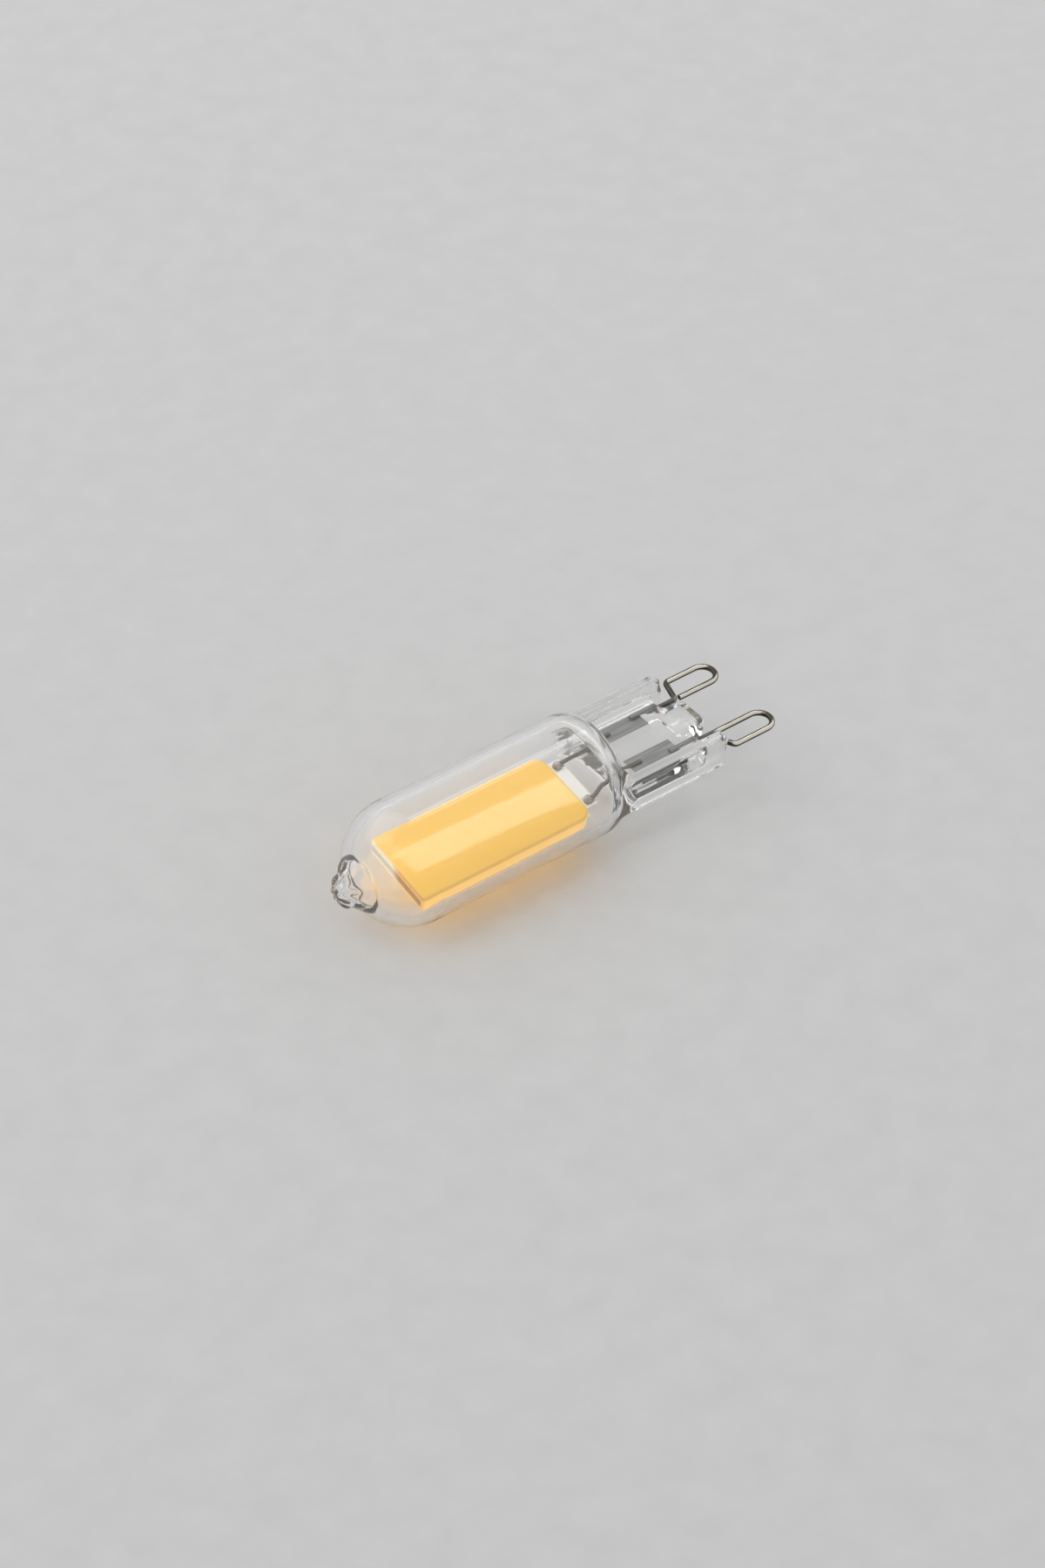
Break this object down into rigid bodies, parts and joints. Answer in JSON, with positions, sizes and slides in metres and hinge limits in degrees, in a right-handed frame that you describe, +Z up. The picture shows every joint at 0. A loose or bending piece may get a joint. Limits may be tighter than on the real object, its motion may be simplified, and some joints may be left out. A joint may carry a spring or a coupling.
{
  "type": "led capsule bulb",
  "caption": "Clear glass capsule lamp with a yellow-coated ceramic LED board inside, a flat press seal and looped contact pins.",
  "frame": {"origin": "on the surface that the lamp lies on, below the middle of its length and width", "axes": "+X runs along the lamp from the exhaust tip to the contact pins, +Y is across the flat press seal, +Z is up"},
  "size_m": [0.0502, 0.013, 0.013],
  "materials": {
    "clear_glass": "fire-polished, clear",
    "phosphor_silicone": "smooth, yellow, slightly translucent",
    "alumina": "matt white",
    "led_die": "polished die",
    "silver_track": "printed and fired",
    "driver_die": "dark die",
    "solder": "dull, part oxidised",
    "lead_wire": "dark drawn wire",
    "seal_foil": "rolled foil, grey",
    "pin_wire": "bright drawn wire"
  },
  "bodies": {
    "root": {"glass_envelope": "clear_glass", "phosphor_coat": "phosphor_silicone", "led_board": "alumina", "led_chips_top": "led_die", "led_chips_bottom": "led_die", "chip_tracks_top": "silver_track", "chip_tracks_bottom": "silver_track", "rectifier_diodes": "driver_die", "current_regulator": "driver_die", "input_pad_left": "silver_track", "input_pad_right": "silver_track", "solder_joint_left": "solder", "solder_joint_right": "solder", "inner_lead_left": "lead_wire", "inner_lead_right": "lead_wire", "seal_foil_left": "seal_foil", "seal_foil_right": "seal_foil", "contact_pin_left": "pin_wire", "contact_pin_right": "pin_wire"}
  },
  "joints": []
}
